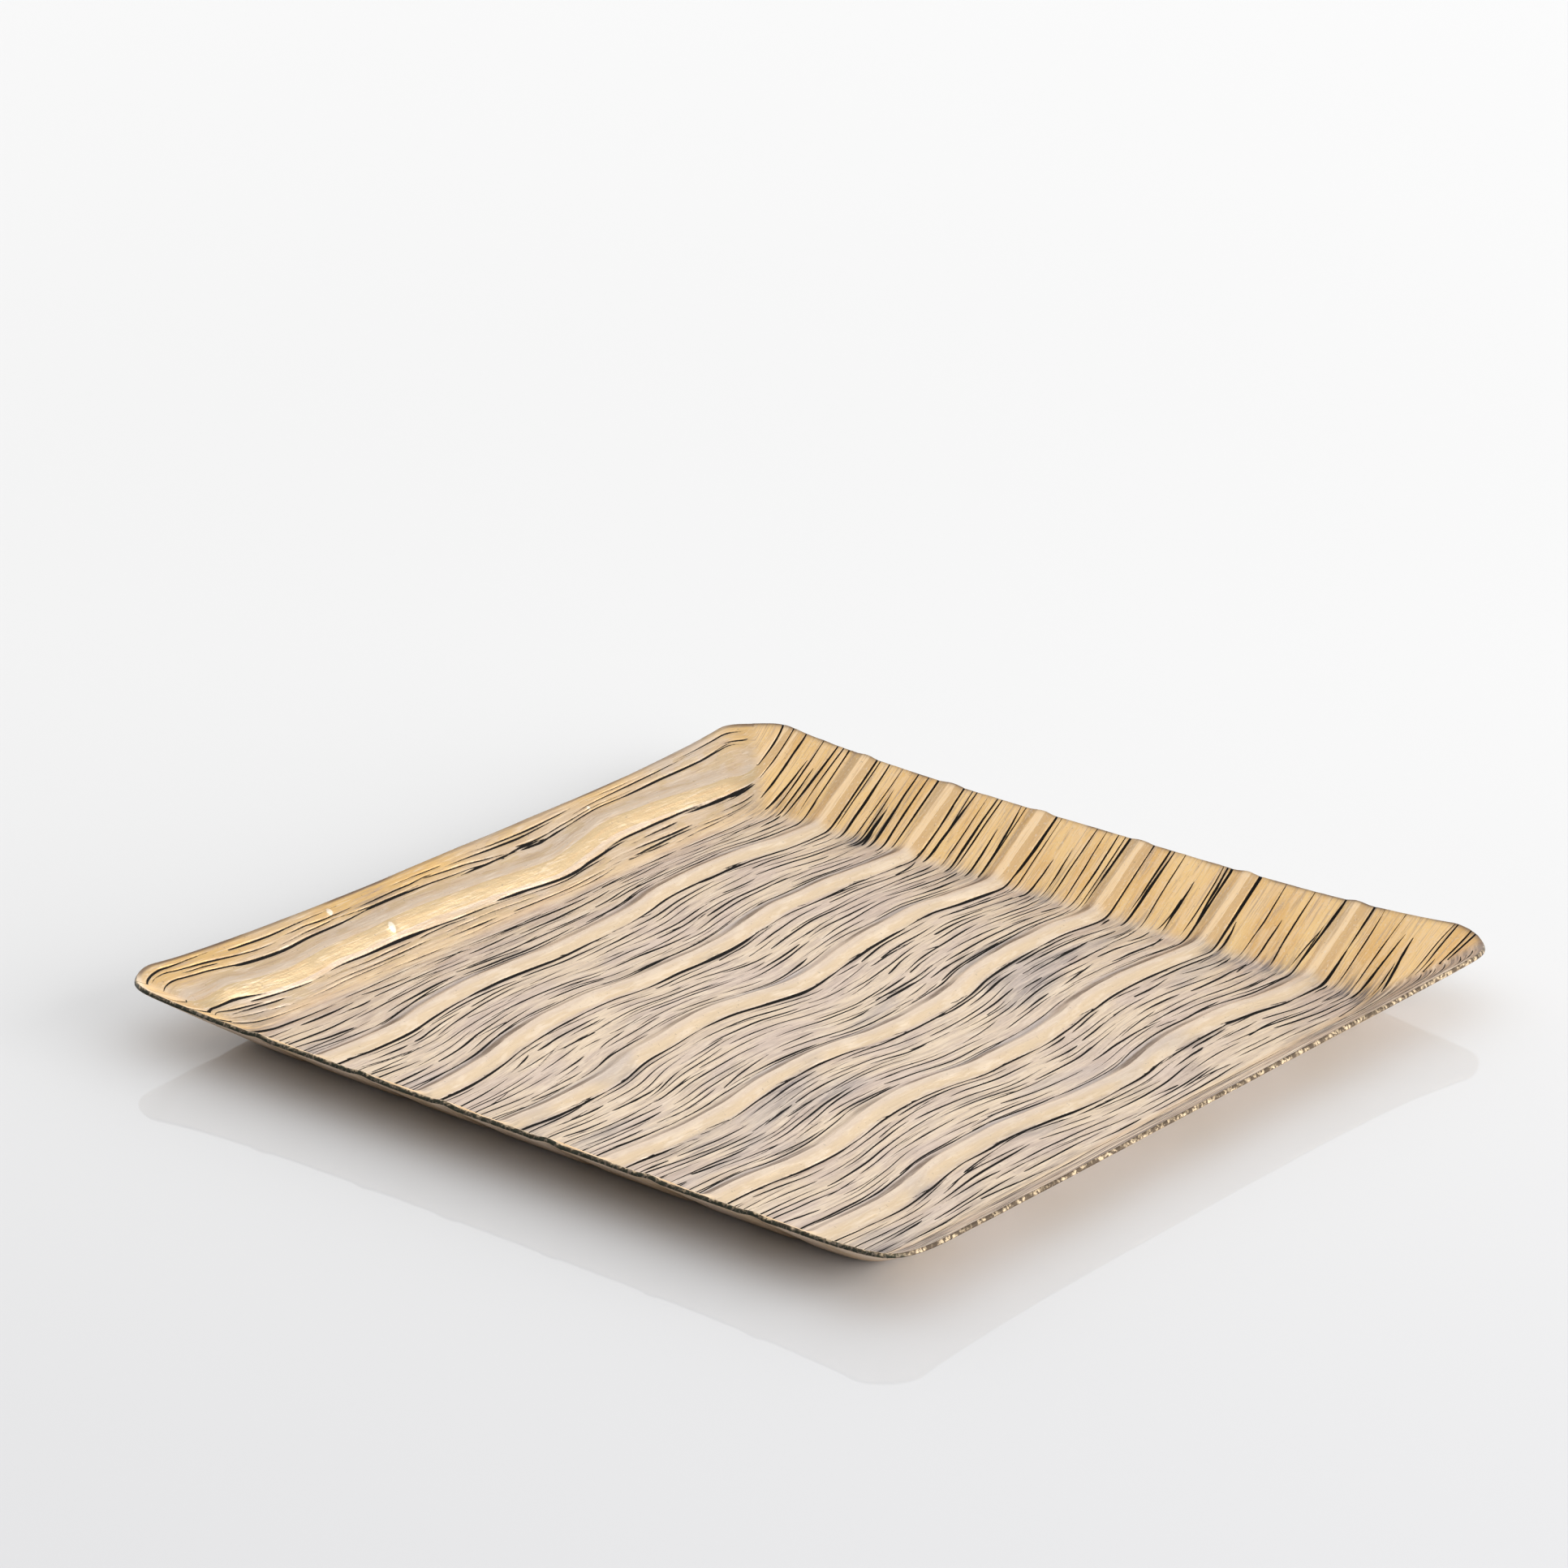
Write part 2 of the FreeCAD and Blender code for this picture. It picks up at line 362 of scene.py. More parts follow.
def chase_band(lines, low, high):
    """The floor between two ribs: lanes of long lines, then finer strokes that cross the lanes."""
    count = round((high - low) / LANE_WIDTH)
    for lane in range(count):
        across = low + (high - low) * (lane + 0.6) / (count + 0.2)
        lines.lane(across, -LAND_END, LAND_END, (18.0, 60.0), (0.5, 5.0), (0.22, 0.52), 0.25, 1.1, 0.6)
    for _ in range(count * 2):
        y = rng.uniform(-LAND_END, LAND_END - 8.0)
        across = rng.uniform(low + 1.0, high - 1.0)
        drift = rng.normal(0.0, 1.6)
        end = (across + drift, min(y + rng.uniform(10.0, 34.0), LAND_END))
        lines.draw((across, y), end, rng.uniform(0.16, 0.34), 0.12, lean=rng.uniform(0.2, 0.8))


def chase_rib_feet(lines):
    """The bold line along each rib's +X foot, with a few nicks beside it, and the finer line along
    the other foot."""
    for middle in RIB_MIDDLES:
        chase_foot(lines, middle, 1, RIB_HALF - 0.3, (0.34, 0.72))
        chase_foot(lines, middle, -1, RIB_HALF + 0.8, (0.20, 0.50))
        for _ in range(14):
            y = rng.uniform(-FLOOR_HALF, FLOOR_HALF)
            inner = middle + RIB_HALF - rng.uniform(0.3, 1.6)
            end = (inner + rng.uniform(0.6, 1.4), y + rng.uniform(5.0, 12.0))
            lines.draw((inner, y), end, rng.uniform(0.10, 0.22), 0.1)


def chase_foot(lines, middle, side, foot, half_width):
    """One long line from rim to rim beside a rib, made of strokes that overlap."""
    y = -HALF
    place = foot
    while y < HALF:
        length = rng.uniform(26.0, 70.0)
        end_place = foot + rng.normal(0.0, 0.3)
        start_at = (middle + side * place, y - 3.0)
        end_at = (middle + side * end_place, y + length)
        bow = rng.normal(0.0, 0.3)
        lean = rng.uniform(0.25, 0.75)
        lines.draw(start_at, end_at, rng.uniform(*half_width), GROOVE, bow, lean)
        y += length + rng.uniform(-12.0, 1.0)
        place = end_place


def chase_end_walls(lines):
    """Lines that run straight up the walls at both ends of the ribs."""
    outermost = HALF - 9.0
    for side in (-1, 1):
        across = -outermost
        while across < outermost:
            across += rng.uniform(1.2, 6.6)
            from_rib = min(abs(across - middle) for middle in RIB_MIDDLES)
            if from_rib < RIB_HALF - 0.3:
                continue
            foot = max(FLOOR_HALF - rng.uniform(0.0, 8.0), abs(across) - 1.5)
            top = HALF + 3.0 if rng.random() < 0.7 else FLOOR_HALF + rng.uniform(10.0, 22.0)
            drift = rng.normal(0.0, 1.5)
            start_at, end_at = (across, side * foot), (across + drift, side * top)
            lines.draw(start_at, end_at, rng.uniform(0.26, 0.64), GROOVE,
                       bow=rng.normal(0.0, 0.4), lean=rng.uniform(0.35, 0.7))


THIN, BROAD = (0.12, 0.30), (0.24, 0.44)  # half widths of the lines on the wall at -X
SIDE_LANES = (
    (-147.8, THIN), (-146.2, THIN), (-144.8, THIN), (-143.4, BROAD),
    (-131.7, BROAD), (-130.3, THIN), (-128.9, THIN), (-127.4, THIN), (-126.2, THIN),
)
NEAR_LANE_STEP = 1.15  # between lanes on the wall at +X


def chase_side_walls(lines):
    """Long lines along the two walls beside the ribs, unbroken on both sides of the wall rib."""
    for across, half_width in SIDE_LANES:
        edge = -across - 3.0
        gaps = (-22.0, -6.0) if half_width is BROAD else (-4.0, 6.0)
        lines.lane(across, -edge, edge, (24.0, 70.0), gaps, half_width, 0.35, 0.7, 0.3)
    for across in np.arange(FLOOR_HALF + 0.5, HALF - 0.5, NEAR_LANE_STEP):
        edge = across - 2.0
        lines.lane(across, -edge, edge, (26.0, 90.0), (0.0, 8.0), (0.14, 0.46), 0.25, 0.8, 0.4)


# ---------------------------------------------------------------------------------------------
# Paint maps over the top of the sheet
# ---------------------------------------------------------------------------------------------
def glints(x, y):
    """Small dents on the wall at -X, where the sheet was caught by the tool; their colour gets a
    painted glint.
    """
    return sum(np.exp(-((x - a) ** 2 + (y - b) ** 2) / r**2) for a, b, r in GLINTS)


def crest_shadow(shape, columns):
    """Painted shade down the far flank of each rib, which faces away from the light: a brown band that
    ends in a wandering line near the crest.
    """
    total = np.zeros(shape)
    rows_only = (shape[0], 1)
    for middle in RIB_MIDDLES:
        offset = columns[None, :] - middle
        end = -1.1 + 0.7 * noise(rows_only, 1, 30)
        strength = 0.25 + 0.75 * ease(noise(rows_only, 1, 22), -0.6, 0.2)
        total += strength * ease(offset, -RIB_HALF, -RIB_HALF + 1.0) * ease(end - offset, -0.1, 0.3)
    return total


def paint_maps(x, y, columns, rows, lines):
    """The colour of the top, as one number from 0 to 1 for each kind of finish and for each painted
    shade and highlight.
    """
    shape = x.shape
    floor_places, wall_place = rib_places(x, y)
    run = wall_run(x, y)
    wall = ease(run, -3.0, 3.5)
    every = floor_places + [wall_place]
    crest = sum(ease(p, -0.45, -0.25) * (1.0 - ease(p, 0.68, 0.92)) for p in every)
    # painted shade on each rib's far flank, which faces away from the light
    far_flank_shade = sum(ease(p, -1.25, -0.95) * (1.0 - ease(p, -0.6, -0.3)) for p in floor_places)
    warm_side = sum(ease(p, 0.1, 0.45) * (1.0 - ease(p, 0.9, 1.1)) for p in floor_places)
    warm_side += ease(wall_place, 0.02, 0.10) * (1.0 - ease(wall_place, 0.55, 0.7))
    from_rim = HALF - np.maximum(np.abs(columns)[None, :], np.abs(rows)[:, None])
    beside = ease(np.abs(x) - np.abs(y), -5.0, 5.0)
    front = ease(-y - np.abs(x), -8.0, 2.0)
    clouds = noise(shape, 26, 9)
    patches = noise(shape, 60, 22)
    uneven = ease(noise(shape, 30, 14), -0.35, 0.35)
    ink_near = blurred(ease(lines.line, 0.35, 0.6), 8, 6)
    # Darker beside the lines, a patina with painted shade, and below also darker along the walls' foot
    # and in the corners
    patina_and_shade = ease(ink_near * 1.6 + 0.45 * patches + 0.15 * clouds, 0.50, 1.15)
    far_end = np.exp(-((y - FLOOR_HALF + 3.0) / 7.0) ** 2) * 0.7
    bend = (np.exp(-((run + 1.5) / 3.2) ** 2) + far_end) * ease(clouds + 0.5 * patches, -0.5, 0.9)
    corner = ease(np.abs(x) + np.abs(y), 1.86 * FLOOR_HALF, 1.99 * FLOOR_HALF)
    corner = corner * np.exp(-(run / 5.0) ** 2)
    # blue-grey: the painted shade on the far flanks, and clouds of blue-grey patina
    blue = far_flank_shade * uneven + 0.5 * ease(clouds + patches, 0.6, 1.3)
    gold = ease(clouds + 0.4 * patches, -0.7, 0.3)
    return {
        "line": lines.line,
        "wall": wall,
        "rib": np.clip(crest, 0.0, 1.0),
        "crest_shadow": np.clip(crest_shadow(shape, columns), 0.0, 1.0) * (1 - 0.6 * wall),
        "blue": np.clip(blue, 0.0, 1.0) * (1 - wall),
        "warm": np.clip(warm_side, 0.0, 1.0),
        "side_wall": wall * ease(-x, FLOOR_HALF - 4.0, FLOOR_HALF + 4.0) * beside,
        "side_gold": beside * ease(-x, HALF - 9.0, HALF - 3.0) * gold,
        "rim_line": ease(-from_rim, -1.0, -0.3) * (0.5 + 0.5 * ease(patches, -0.4, 0.4)) * (1 - front),
        # a pale line along the rim at the front: burnished wear and a painted highlight
        "front_rim_wear_and_highlight": ease(-from_rim, -1.4, -0.6) * front,
        "glint": glints(x, y),
        "near_wall": wall * ease(x, FLOOR_HALF - 6.0, FLOOR_HALF + 2.0) * beside,
        "patina_and_shade": np.clip(0.85 * patina_and_shade + 0.55 * bend + 0.8 * corner, 0.0, 1.0),
    }


# ---------------------------------------------------------------------------------------------
# The mesh
# ---------------------------------------------------------------------------------------------
def loop_of(rows, columns):
    """The grid's boundary as (row, column) pairs, anticlockwise seen from above."""
    last_row, last_column = rows - 1, columns - 1
    loop = [(0, c) for c in range(last_column)]
    loop += [(r, last_column) for r in range(last_row)]
    loop += [(last_row, c) for c in range(last_column, 0, -1)]
    loop += [(r, 0) for r in range(last_row, 0, -1)]
    return np.array(loop)


SLOPE_PROBE = 0.05


def slopes(x, y, height):
    """The unit normal of z = height(x, y)."""
    dx = (height(x + SLOPE_PROBE, y) - height(x - SLOPE_PROBE, y)) / (2 * SLOPE_PROBE)
    dy = (height(x, y + SLOPE_PROBE) - height(x, y - SLOPE_PROBE)) / (2 * SLOPE_PROBE)
    length = np.sqrt(1 + dx * dx + dy * dy)
    return -dx / length, -dy / length, 1 / length


def quads(rows, columns, first, flip):
    """The faces of a grid of points numbered from first."""
    index = first + np.arange(rows * columns).reshape(rows, columns)
    corners = [index[:-1, :-1], index[:-1, 1:], index[1:, 1:], index[1:, :-1]]
    return np.stack([c.ravel() for c in (corners[::-1] if flip else corners)], 1)


def build_mesh(name, points, faces, long_faces):
    """A mesh from quads and, after them, faces of more corners."""
    mesh = bpy.data.meshes.new(name)
    corners = np.concatenate([faces.ravel()] + [np.array(f) for f in long_faces])
    totals = np.concatenate([np.full(len(faces), 4), np.array([len(f) for f in long_faces], int)])
    mesh.vertices.add(len(points))
    mesh.vertices.foreach_set("co", (points * MM).astype(np.float32).ravel())
    mesh.loops.add(len(corners))
    mesh.loops.foreach_set("vertex_index", corners.astype(np.int32))
    mesh.polygons.add(len(totals))
    mesh.polygons.foreach_set("loop_start", (np.cumsum(totals) - totals).astype(np.int32))
    mesh.polygons.foreach_set("use_smooth", np.ones(len(totals), bool))
    mesh.update(calc_edges=True)
    mesh.validate()
    return mesh


# Where the parts of the sheet lie in the layout for baking, as (start, height) up its square
TOP_PART = (0.345, 0.65)
UNDER_PART = (0.035, 0.30)
RIM_PART = (0.005, 0.022)
LAYOUT_HALF = HALF + 8.0  # what a part spans, from its middle: a little more than the pulled corners


def seen_flat(points, part):
    """Points laid out as seen from above, over the full width of one part of the layout."""
    start, height = part
    across = 0.5 + 0.49 * points[:, 0] / LAYOUT_HALF
    up = start + height * (0.5 + 0.5 * points[:, 1] / LAYOUT_HALF)
    return np.stack([across, up], 1)


def lay_out(mesh, points, top_faces, under_faces, around, seam_spans):
    """The layout for baking: the top and the underside seen flat, the rim as a strip."""
    places = [seen_flat(points[top_faces.ravel()], TOP_PART)]
    levels = RIM_PART[0] + RIM_PART[1] * np.array((0.0,) + RIM_RINGS + (1.0,))
    here, there = np.arange(around) / around, np.arange(1, around + 1) / around
    for upper_level, lower_level in zip(levels[:-2], levels[1:-1]):
        corners = [(here, upper_level), (here, lower_level), (there, lower_level), (there, upper_level)]
        band = np.stack([np.stack(np.broadcast_arrays(*corner), -1) for corner in corners], 1)
        places.append(band.reshape(-1, 2))
    places.append(seen_flat(points[under_faces.ravel()], UNDER_PART))
    for first, span in seam_spans:
        start = first / around
        steps = np.arange(span, -1, -1) / around + start
        strip = np.concatenate([[start, start + span / around], steps])
        heights = np.concatenate([[levels[-1]] * 2, np.full(span + 1, levels[-2])])
        places.append(np.stack([strip, heights], 1))
    layer = mesh.uv_layers.new(name="OFBake")
    layer.uv.foreach_set("vector", np.concatenate(places).astype(np.float32).ravel())


def worked(rows, run, maps, depth):
    """How far the worked surface lies above the smooth one: grain, hammer marks, dents and lines."""
    shape = run.shape
    grain = 0.10 * noise(shape, 90, 14) + 0.05 * noise(shape, 180, 60)
    hammer = 0.16 * noise(shape, 34, 26) * (0.5 + 0.8 * ease(run, 0.0, 12.0))
    hammer += 0.09 * noise(shape, 110, 70) * maps["rib"]
    lift = grain * (1 - 0.5 * maps["rib"]) + hammer + 0.5 * maps["glint"] - depth
    return lift * (0.5 + 0.5 * ease(HALF - np.abs(rows), 0.0, 1.0)[:, None])


def cut_edge(rim, normal):
    """Rings of points down the uneven cut edge, and the way the edge faces at each point."""
    through = -SHEET * normal
    outward = np.cross(np.roll(rim, -3, 0) - np.roll(rim, 3, 0), normal)
    outward /= np.linalg.norm(outward, axis=1)[:, None]
    rings = []
    for depth in RIM_RINGS:
        dents = uneven_round(len(rim), 300, 1.0)
        bulge = 0.22 * math.sin(math.pi * depth) ** 0.5 + 0.05 * dents + rng.normal(0, 0.012, len(rim))
        rings.append(rim + through * depth + outward * bulge[:, None])
    return np.array(rings), outward


def uneven_round(count, knots, spread):
    """Uneven numbers that change slowly along the rim."""
    return np.interp(np.arange(count), np.linspace(0, count, knots), rng.normal(0, spread, knots))


def seam_faces(loop, under_loop, under_index, ring_index):
    """The faces that join the last ring to the coarser underside, and each one's place on the ring
    as (first point, steps)."""
    around = len(loop)
    fine_at = {tuple(place): k for k, place in enumerate(loop)}
    firsts = [fine_at[(row * UNDER_ALONG, column * UNDER_ACROSS)] for row, column in under_loop]
    faces, spans = [], []
    for k, first in enumerate(firsts):
        following = (k + 1) % len(firsts)
        span = (firsts[following] - first) % around
        fine = [ring_index[(first + step) % around] for step in range(span, -1, -1)]
        faces.append([under_index[k], under_index[following]] + fine)
        spans.append((first, span))
    return faces, spans


def store(mesh, name, parts):
    """One number for each point, from those of the top, of the cut edge and of the underside."""
    attribute = mesh.attributes.new(name, "FLOAT", "POINT")
    attribute.data.foreach_set("value", np.concatenate(parts).astype(np.float32))


TOP_ONLY = ("line", "patina_and_shade")  # the finishes that stop at the rim: the lines, and the patina with painted shade
EDGE_DARK_FROM = (0.12, 0.42)  # how far down the cut edge its painted shade starts, at the front


def make_tray():
    columns, rows, x, y = grid_places()
    lines = Lines(columns, rows)
    chase(lines)
    maps = paint_maps(x, y, columns, rows, lines)

    normal = np.stack(slopes(x, y, upper), -1)
    smooth = np.stack([x, y, upper(x, y)], -1)
    lift = worked(rows, wall_run(x, y), maps, lines.depth)
    top = smooth + lift[..., None] * normal
    under = (slice(None, None, UNDER_ALONG), slice(None, None, UNDER_ACROSS))
    bottom = (smooth - SHEET * normal)[under]
    bottom[..., 2] = np.maximum(bottom[..., 2], 0.0)

    loop = loop_of(*x.shape)
    rim = (loop[:, 0], loop[:, 1])
    rings, outward = cut_edge(top[rim], normal[rim])
    counts = (x.size, rings.shape[0] * rings.shape[1], bottom.shape[0] * bottom.shape[1])
    points = np.concatenate([top.reshape(-1, 3), rings.reshape(-1, 3), bottom.reshape(-1, 3)])

    top_faces = quads(*x.shape, 0, False)
    above = rim[0] * x.shape[1] + rim[1]
    bands = []
    for k in range(len(rings)):
        below = counts[0] + k * len(loop) + np.arange(len(loop))
        bands.append(np.stack([above, below, np.roll(below, -1), np.roll(above, -1)], 1))
        above = below
    under_start = counts[0] + counts[1]
    under_faces = quads(bottom.shape[0], bottom.shape[1], under_start, True)
    under_loop = loop_of(*bottom.shape[:2])
    under_index = under_start + under_loop[:, 0] * bottom.shape[1] + under_loop[:, 1]
    seam, spans = seam_faces(loop, under_loop, under_index, above)
    mesh = build_mesh("tray", points, np.concatenate([top_faces] + bands + [under_faces]), seam)
    lay_out(mesh, points, top_faces, under_faces, len(loop), spans)

    place = np.stack(np.broadcast_arrays(columns[None, :], rows[:, None], 0.0), -1) * MM
    every_place = np.concatenate([
        place.reshape(-1, 3),
        np.tile(place[rim], (len(rings), 1)),
        place[under].reshape(-1, 3),
    ])
    flow = mesh.attributes.new("flow", "FLOAT_VECTOR", "POINT")
    flow.data.foreach_set("vector", every_place.astype(np.float32).ravel())
    none_on_top, none_on_rim, none_under = (np.zeros(count) for count in counts)
    for name, values in maps.items():
        if name in TOP_ONLY:
            store(mesh, name, (values.ravel(), none_on_rim, none_under))
        else:
            store(mesh, name, (values.ravel(), np.tile(values[rim], len(rings)), values[under].ravel()))
    # Painted shade on the cut edge at the front, which faces away from the light
    front = ease(-outward[:, 1], 0.2, 0.7)
    ragged = uneven_round(len(loop), 900, 0.16)
    dark = np.concatenate([front * ease(depth + ragged, *EDGE_DARK_FROM) for depth in RIM_RINGS])
    store(mesh, "front_edge_shade", (none_on_top, dark, none_under))
    store(mesh, "edge", (none_on_top, np.ones(counts[1]), none_under))
    store(mesh, "below", (none_on_top, np.full(counts[1], 0.5), np.ones(counts[2])))
    return mesh


# ---------------------------------------------------------------------------------------------
# The brass
# ---------------------------------------------------------------------------------------------
class Nodes:
    """Short names for the shader nodes that the material uses."""

    def __init__(self, tree):
        self.tree = tree

    def new(self, kind, **values):
        node = self.tree.nodes.new(kind)
        for key, value in values.items():
            setattr(node, key, value)
        return node

    def link(self, source, target):
        self.tree.links.new(source, target)

    def set(self, socket, value):
        if hasattr(value, "is_linked"):
            self.link(value, socket)
        else:
            socket.default_value = value

    def attribute(self, name):
        """The number that the mesh holds under this name."""
        return self.new("ShaderNodeAttribute", attribute_name=name).outputs["Fac"]

    def math(self, operation, a, b=0.0, clamp=False):
        node = self.new("ShaderNodeMath", operation=operation, use_clamp=clamp)
        self.set(node.inputs[0], a)
        self.set(node.inputs[1], b)
        return node.outputs[0]

    def times(self, a, b):
        return self.math("MULTIPLY", a, b)

    def mix(self, share, a, b):
        """a where share is 0, b where it is 1."""
        node = self.new("ShaderNodeMix", data_type="RGBA")
        self.set(node.inputs["Factor"], share)
        self.set(node.inputs["A"], a)
        self.set(node.inputs["B"], b)
        return node.outputs["Result"]

    def between(self, value, low, high, new_low=0.0, new_high=1.0):
        """new_low at low, new_high at high, smooth between."""
        node = self.new("ShaderNodeMapRange", interpolation_type="SMOOTHSTEP")
        for key, number in (("Value", value), ("From Min", low), ("From Max", high),
                            ("To Min", new_low), ("To Max", new_high)):
            self.set(node.inputs[key], number)
        return node.outputs["Result"]

    def noise(self, vector, scale, detail, rough):
        node = self.new("ShaderNodeTexNoise")
        self.set(node.inputs["Vector"], vector)
        node.inputs["Scale"].default_value = scale
        node.inputs["Detail"].default_value = detail
        node.inputs["Roughness"].default_value = rough
        return node.outputs["Fac"]

    def stretched(self, vector, scale, turn=0.0):
        node = self.new("ShaderNodeMapping")
        self.link(vector, node.inputs["Vector"])
        node.inputs["Scale"].default_value = scale
        node.inputs["Rotation"].default_value = (0.0, 0.0, turn)
        return node.outputs["Vector"]

    def along(self, vector, direction):
        """How far a vector reaches along a direction."""
        node = self.new("ShaderNodeVectorMath", operation="DOT_PRODUCT")
        self.link(vector, node.inputs[0])
        node.inputs[1].default_value = direction
        return node.outputs["Value"]

    def bump(self, height, strength, distance, normal=None):
        node = self.new("ShaderNodeBump")
        node.inputs["Strength"].default_value = strength
        node.inputs["Distance"].default_value = distance
        self.link(height, node.inputs["Height"])
        if normal is not None:
            self.link(normal, node.inputs["Normal"])
        return node.outputs["Normal"]


# The floor and its ribs
CREAM = (0.775, 0.63, 0.47, 1.0)
PINK = (0.67, 0.54, 0.45, 1.0)
PALE = (0.86, 0.74, 0.60, 1.0)
STREAK = (0.42, 0.33, 0.28, 1.0)
RIB_CREAM = (0.75, 0.61, 0.48, 1.0)
RIB_GOLD = (0.74, 0.58, 0.385, 1.0)
# painted shade on the ribs' far flanks
FLANK_SHADE_BROWN = (0.19, 0.13, 0.09, 1.0)
# painted shade on the ribs' far flanks, and blue-grey patina
BLUE_GREY_SHADE_AND_PATINA = (0.47, 0.42, 0.41, 1.0)
# dark patina, and painted shade beside the lines
PATINA_AND_SHADE_GREY = (0.15, 0.135, 0.14, 1.0)
INK = (0.008, 0.007, 0.006, 1.0)
# The walls at both ends of the ribs; their gold is partly the brass's own tone, partly painted
# reflection
WALL_GOLD = (0.91, 0.63, 0.30, 1.0)
WALL_DEEP = (0.80, 0.50, 0.20, 1.0)
WALL_RIB_CREAM = (0.95, 0.71, 0.44, 1.0)
WALL_RIB_OLIVE = (0.68, 0.45, 0.22, 1.0)
# The walls at -X and, as the last one, at +X; their tones are partly painted reflection too
SIDE_WALL = (0.64, 0.49, 0.34, 1.0)
SIDE_PINK = (0.62, 0.50, 0.385, 1.0)
SIDE_OLIVE = (0.56, 0.42, 0.235, 1.0)
SIDE_GOLD = (0.68, 0.45, 0.19, 1.0)
NEAR_WALL = (0.50, 0.38, 0.30, 1.0)
# The rim, its cut edge and the underside
RIM_LINE = (0.10, 0.065, 0.06, 1.0)
# painted shade on the front of the cut edge, and painted sparkles on the rest
EDGE_DARK = (0.055, 0.058, 0.042, 1.0)
EDGE_DULL = (0.11, 0.08, 0.055, 1.0)
EDGE_SPARKLE = (0.64, 0.50, 0.33, 1.0)
UNDER_PINK = (0.72, 0.58, 0.46, 1.0)
UNDER_DEEP = (0.60, 0.44, 0.27, 1.0)

BRASS_SPECULAR = 0.12  # low, so that the ink stays dark
BARE_METALLIC = 0.9


class Noises:
    """The noises that vary the brass, most of them stretched along the ribs."""

    def __init__(self, n):
        place = n.new("ShaderNodeTexCoord").outputs["Object"]
        flow = n.new("ShaderNodeAttribute", attribute_name="flow").outputs["Vector"]
        self.clouds = n.noise(n.stretched(flow, (1.0, 0.35, 1.0)), 60.0, 4.0, 0.6)
        self.patches = n.noise(n.stretched(flow, (1.0, 0.22, 1.0)), 300.0, 3.0, 0.6)
        self.brushed = n.noise(n.stretched(flow, (1.0, 0.07, 1.0)), 560.0, 4.0, 0.7)
        self.fine = n.noise(n.stretched(flow, (1.0, 0.045, 1.0)), 1300.0, 3.0, 0.65)
        self.long_streaks = n.noise(n.stretched(flow, (1.0, 0.035, 1.0)), 420.0, 2.0, 0.5)
        self.scratches = n.noise(n.stretched(place, (1.0, 0.05, 1.0), 0.9), 1700.0, 2.0, 0.6)
        self.specks = n.noise(place, 900.0, 2.0, 0.6)
        self.flecks = n.noise(place, 340.0, 2.0, 0.5)


def floor_colour(n, noises, rib, warm):
    """Cream and pink, with paler ribs that turn gold on their +X side."""
    land = n.mix(n.between(noises.clouds, 0.40, 0.62), CREAM, PINK)
    land = n.mix(n.between(noises.patches, 0.52, 0.72, 0.0, 0.75), land, PALE)
    land = n.mix(n.between(noises.brushed, 0.46, 0.60, 0.0, 0.38), land, STREAK)
    land = n.mix(n.between(noises.brushed, 0.36, 0.46, 0.3, 0.0), land, PALE)
    raised = n.mix(n.times(warm, 0.8), RIB_CREAM, RIB_GOLD)
    raised = n.mix(n.between(noises.patches, 0.50, 0.62, 0.0, 0.5), raised, PALE)
    return n.mix(n.times(rib, 0.95), land, raised)


def wall_colour(n, noises, rib, warm):
    """Gold on the walls at the ribs' ends, pink and olive at -X, and streaky brown at +X; these tones
    are partly the brass's own and partly painted reflection of the darker sky that the walls face.
    """
    side = n.attribute("side_wall")
    scraped = n.between(noises.patches, 0.50, 0.55)
    ends = n.mix(n.between(noises.clouds, 0.40, 0.64), WALL_GOLD, WALL_DEEP)
    ends = n.mix(n.times(scraped, 0.4), ends, WALL_RIB_CREAM)
    beside = n.mix(n.between(noises.clouds, 0.44, 0.6), SIDE_WALL, SIDE_PINK)
    beside = n.mix(n.times(scraped, 0.5), beside, SIDE_OLIVE)
    beside = n.mix(n.attribute("side_gold"), beside, SIDE_GOLD)
    colour = n.mix(side, ends, beside)

    cream = n.mix(side, WALL_RIB_CREAM, SIDE_PINK)
    olive = n.mix(side, WALL_RIB_OLIVE, SIDE_OLIVE)
    torn = n.math("ADD", warm, n.times(n.math("SUBTRACT", noises.patches, 0.5), 0.9))
    raised = n.mix(n.between(torn, 0.44, 0.56, 0.0, 0.9), cream, olive)
    colour = n.mix(n.times(rib, 0.92), colour, raised)

    near = n.mix(n.between(noises.long_streaks, 0.52, 0.62), NEAR_WALL, PALE)
    near = n.mix(n.between(noises.long_streaks, 0.40, 0.48, 0.9, 0.0), near, PATINA_AND_SHADE_GREY)
    colour = n.mix(n.times(n.attribute("near_wall"), 0.95), colour, near)
    return n.mix(n.between(noises.fine, 0.48, 0.66, 0.0, 0.4), colour, WALL_RIB_OLIVE)


